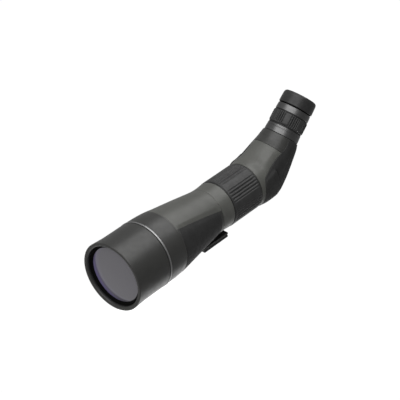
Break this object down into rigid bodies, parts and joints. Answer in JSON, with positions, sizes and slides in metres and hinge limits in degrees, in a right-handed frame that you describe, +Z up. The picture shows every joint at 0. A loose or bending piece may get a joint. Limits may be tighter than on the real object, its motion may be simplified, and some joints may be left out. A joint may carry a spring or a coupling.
{
  "type": "spotting scope",
  "caption": "Angled spotting scope with a sliding sunshade, full-body helical focus ring, roof prism, zoom eyepiece, twist-up eyecup and dovetail tripod foot.",
  "frame": {"origin": "centre of the tripod foot's bottom face", "axes": "+Z up away from the tripod, the objective looks along -Y, the eyepiece rises towards +Y at 45 degrees, X is across and the scope is symmetric about X = 0"},
  "size_m": [0.1012, 0.4173, 0.1547],
  "materials": {
    "charcoal_metal": "satin charcoal paint",
    "olive_paint": "satin olive-grey paint",
    "black_metal": "matt black anodised",
    "bright_metal": "satin turned metal",
    "armour_rubber": "fine pebbled rubber",
    "grip_rubber": "ribbed matt rubber",
    "seal_rubber": "smooth rubber",
    "steel": "turned steel",
    "spring_steel": "bare spring steel",
    "glass": "coated optical glass"
  },
  "bodies": {
    "scope": {"sunshade_friction_ring": "seal_rubber", "objective_cell": "black_metal", "objective_seal": "seal_rubber", "objective_retaining_ring": "black_metal", "objective_front_lens": "glass", "objective_spacer": "black_metal", "objective_rear_lens": "glass", "trim_ring": "bright_metal", "main_barrel": "charcoal_metal", "grip_panel_right": "armour_rubber", "grip_panel_left": "armour_rubber", "barrel_baffle_front": "black_metal", "barrel_baffle_rear": "black_metal", "rear_barrel": "olive_paint", "barrel_seal": "seal_rubber", "tripod_foot": "black_metal", "foot_screw_front": "steel", "foot_screw_rear": "steel", "prism_housing": "olive_paint", "prism_side_panel_right": "armour_rubber", "prism_side_panel_left": "armour_rubber", "roof_prism": "glass", "prism_holder": "black_metal", "prism_clamp": "spring_steel", "clamp_screw_right": "steel", "clamp_screw_left": "steel", "eyepiece_collar": "charcoal_metal", "prism_window": "glass", "eyepiece_body": "black_metal", "scale_ring": "bright_metal", "eyepiece_upper_ring": "bright_metal", "field_stop": "black_metal", "field_lens": "glass", "field_lens_retainer": "black_metal", "eye_lens": "glass", "eye_lens_retainer": "black_metal"},
    "sunshade": {"sunshade": "charcoal_metal", "sunshade_stop_ring": "black_metal"},
    "focus_ring": {"focus_ring_sleeve": "black_metal", "focus_ring_grip": "grip_rubber"},
    "focus_carriage": {"focus_carriage": "black_metal", "focusing_lens": "glass", "focusing_lens_retainer": "black_metal", "focus_drive_pin": "steel"},
    "zoom_ring": {"zoom_ring_sleeve": "black_metal", "zoom_ring_grip": "grip_rubber", "zoom_key": "steel", "zoom_cam_tube": "black_metal"},
    "zoom_front_group": {"zoom_front_cell": "black_metal", "zoom_front_lens": "glass", "zoom_front_pin": "steel"},
    "zoom_rear_group": {"zoom_rear_cell": "black_metal", "zoom_rear_lens": "glass", "zoom_rear_pin": "steel"},
    "eyecup_guide": {"eyecup_guide_ring": "black_metal"},
    "eyecup": {"eyecup_sleeve": "black_metal", "eyecup_rubber": "grip_rubber"}
  },
  "joints": [
    {"name": "sunshade_slide", "type": "slide", "parent": "scope", "child": "sunshade", "axis": [0, -1, 0], "range_m": [0, 0.0285]},
    {"name": "focus_turn", "type": "hinge", "parent": "scope", "child": "focus_ring", "pos_m": [0, 0.0507, 0.0485], "axis": [0, 1, 0], "range_deg": [0, 270]},
    {"name": "focus_travel", "type": "slide", "parent": "scope", "child": "focus_carriage", "axis": [0, 1, 0], "range_m": [0, 0.018]},
    {"name": "zoom_turn", "type": "hinge", "parent": "scope", "child": "zoom_ring", "pos_m": [0, 0.12255, 0.04985], "axis": [0, 0.7071, 0.7071], "range_deg": [0, 110]},
    {"name": "zoom_front_travel", "type": "slide", "parent": "scope", "child": "zoom_front_group", "axis": [0, 0.7071, 0.7071], "range_m": [0, 0.009]},
    {"name": "zoom_rear_travel", "type": "slide", "parent": "scope", "child": "zoom_rear_group", "axis": [0, 0.7071, 0.7071], "range_m": [-0.006, 0]},
    {"name": "eyecup_lift", "type": "slide", "parent": "scope", "child": "eyecup_guide", "axis": [0, 0.7071, 0.7071], "range_m": [0, 0.009]},
    {"name": "eyecup_turn", "type": "hinge", "parent": "eyecup_guide", "child": "eyecup", "pos_m": [0, 0.12255, 0.04985], "axis": [0, 0.7071, 0.7071], "range_deg": [0, 150]}
  ],
  "couplings": [
    {"joint": "focus_turn", "follows": "focus_travel", "rad_per_m": 261.79},
    {"joint": "zoom_turn", "follows": "zoom_front_travel", "rad_per_m": 213.31},
    {"joint": "zoom_rear_travel", "follows": "zoom_front_travel", "ratio": -0.6666},
    {"joint": "eyecup_turn", "follows": "eyecup_lift", "rad_per_m": 290.88}
  ]
}
